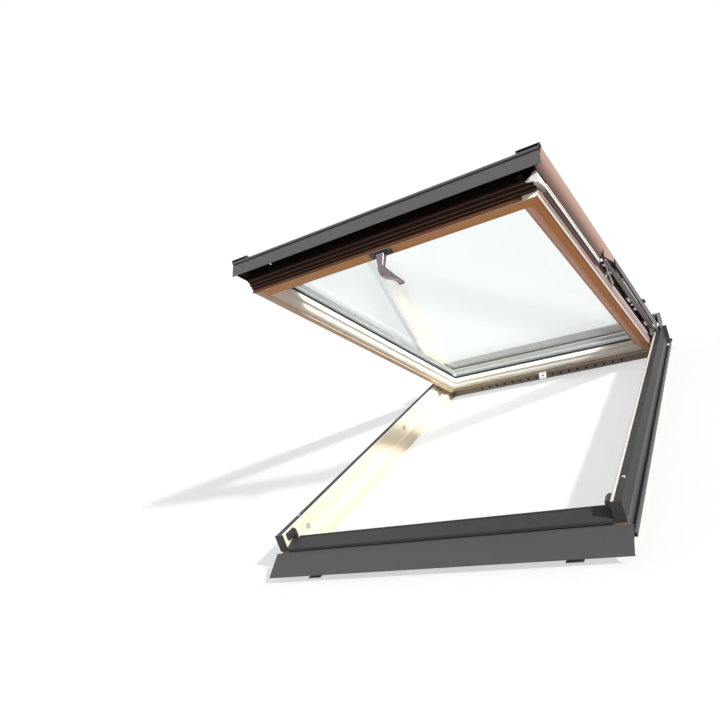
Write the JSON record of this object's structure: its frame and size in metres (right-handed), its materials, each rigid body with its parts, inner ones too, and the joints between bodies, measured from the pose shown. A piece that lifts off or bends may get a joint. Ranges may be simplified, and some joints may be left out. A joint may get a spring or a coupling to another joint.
{
  "type": "roof skylight",
  "caption": "Top-hung and centre-pivot roof window: timber sash and frame, dark grey cladding, insulating glass, side arms, handle and air inlet.",
  "frame": {"origin": "centre of the frame in plan, at the back face of the frame timber that rests on the roof", "axes": "+X along the eave to the right seen from outside, +Y up the slope, +Z out of the roof"},
  "size_m": [0.964, 1.5398, 0.8684],
  "materials": {
    "pine": "satin clear lacquer",
    "cladding": "satin dark grey coating",
    "flashing": "satin dark grey coating",
    "dark_plastic": "matt moulded",
    "white_plastic": "semi-gloss moulded",
    "brown_profile": "satin dark brown coating",
    "galvanised": "zinc plated",
    "bright_steel": "bright zinc",
    "handle_metal": "satin anodised",
    "rubber": "matt",
    "glass": "clear float glass",
    "spacer": "mill finish"
  },
  "bodies": {
    "frame": {"frame_jamb_left": "pine", "frame_jamb_right": "pine", "frame_head": "pine", "frame_sill": "pine", "side_cover_left": "cladding", "side_cover_right": "cladding", "cover_caps": "dark_plastic", "sill_cover": "cladding", "corner_buffers": "dark_plastic", "head_hood": "cladding", "hood_ends": "cladding", "apron_flashing": "flashing", "side_flashing_left": "flashing", "side_flashing_right": "flashing", "head_flashing": "flashing", "sill_gasket": "rubber", "air_inlet": "brown_profile", "hinge_plates": "galvanised", "hinge_pins": "bright_steel", "fixing_brackets": "galvanised", "jamb_plugs": "pine", "jamb_seals": "white_plastic"},
    "shutter": {"inlet_shutter": "brown_profile", "shutter_knob": "dark_plastic"},
    "arms": {"arm_left": "galvanised", "arm_right": "galvanised", "upper_cover_left": "cladding", "upper_cover_right": "cladding", "spring_units": "bright_steel", "spring_studs": "bright_steel", "slide_shoes": "white_plastic", "pivot_pins": "bright_steel", "pivot_levers": "bright_steel", "arm_clips": "bright_steel"},
    "sash": {"sash_stile_left": "pine", "sash_stile_right": "pine", "sash_bottom_rail": "pine", "sash_top_rail": "pine", "outer_pane": "glass", "inner_pane": "glass", "pane_spacer": "spacer", "glazing_gasket": "rubber", "rim_gasket": "rubber", "cladding_bottom": "cladding", "cladding_left": "cladding", "cladding_right": "cladding", "cladding_upper_left": "cladding", "cladding_upper_right": "cladding", "cladding_top": "cladding", "weather_bar": "brown_profile", "side_seals": "white_plastic", "seal_rubbers": "rubber", "corner_blocks": "white_plastic", "pivot_plates": "galvanised", "top_catch": "white_plastic", "handle_base": "dark_plastic", "rib_ends": "dark_plastic", "upper_seals": "white_plastic", "stile_trims": "brown_profile"},
    "handle": {"handle_lever": "handle_metal"}
  },
  "joints": [
    {"name": "top_hinge", "type": "hinge", "parent": "frame", "child": "arms", "pos_m": [0, 0.587, 0.133], "axis": [-1, 0, 0], "range_deg": [-34, 0]},
    {"name": "sash_pivot", "type": "hinge", "parent": "arms", "child": "sash", "pos_m": [0, 0.10782, 0.45621], "axis": [-1, 0, 0], "range_deg": [0, 110]},
    {"name": "handle_turn", "type": "hinge", "parent": "sash", "child": "handle", "pos_m": [0, -0.45486, 0.72718], "axis": [0, 0.5592, 0.829], "range_deg": [-90, 0]},
    {"name": "shutter_slide", "type": "slide", "parent": "frame", "child": "shutter", "axis": [1, 0, 0], "range_m": [0, 0.0175]}
  ]
}
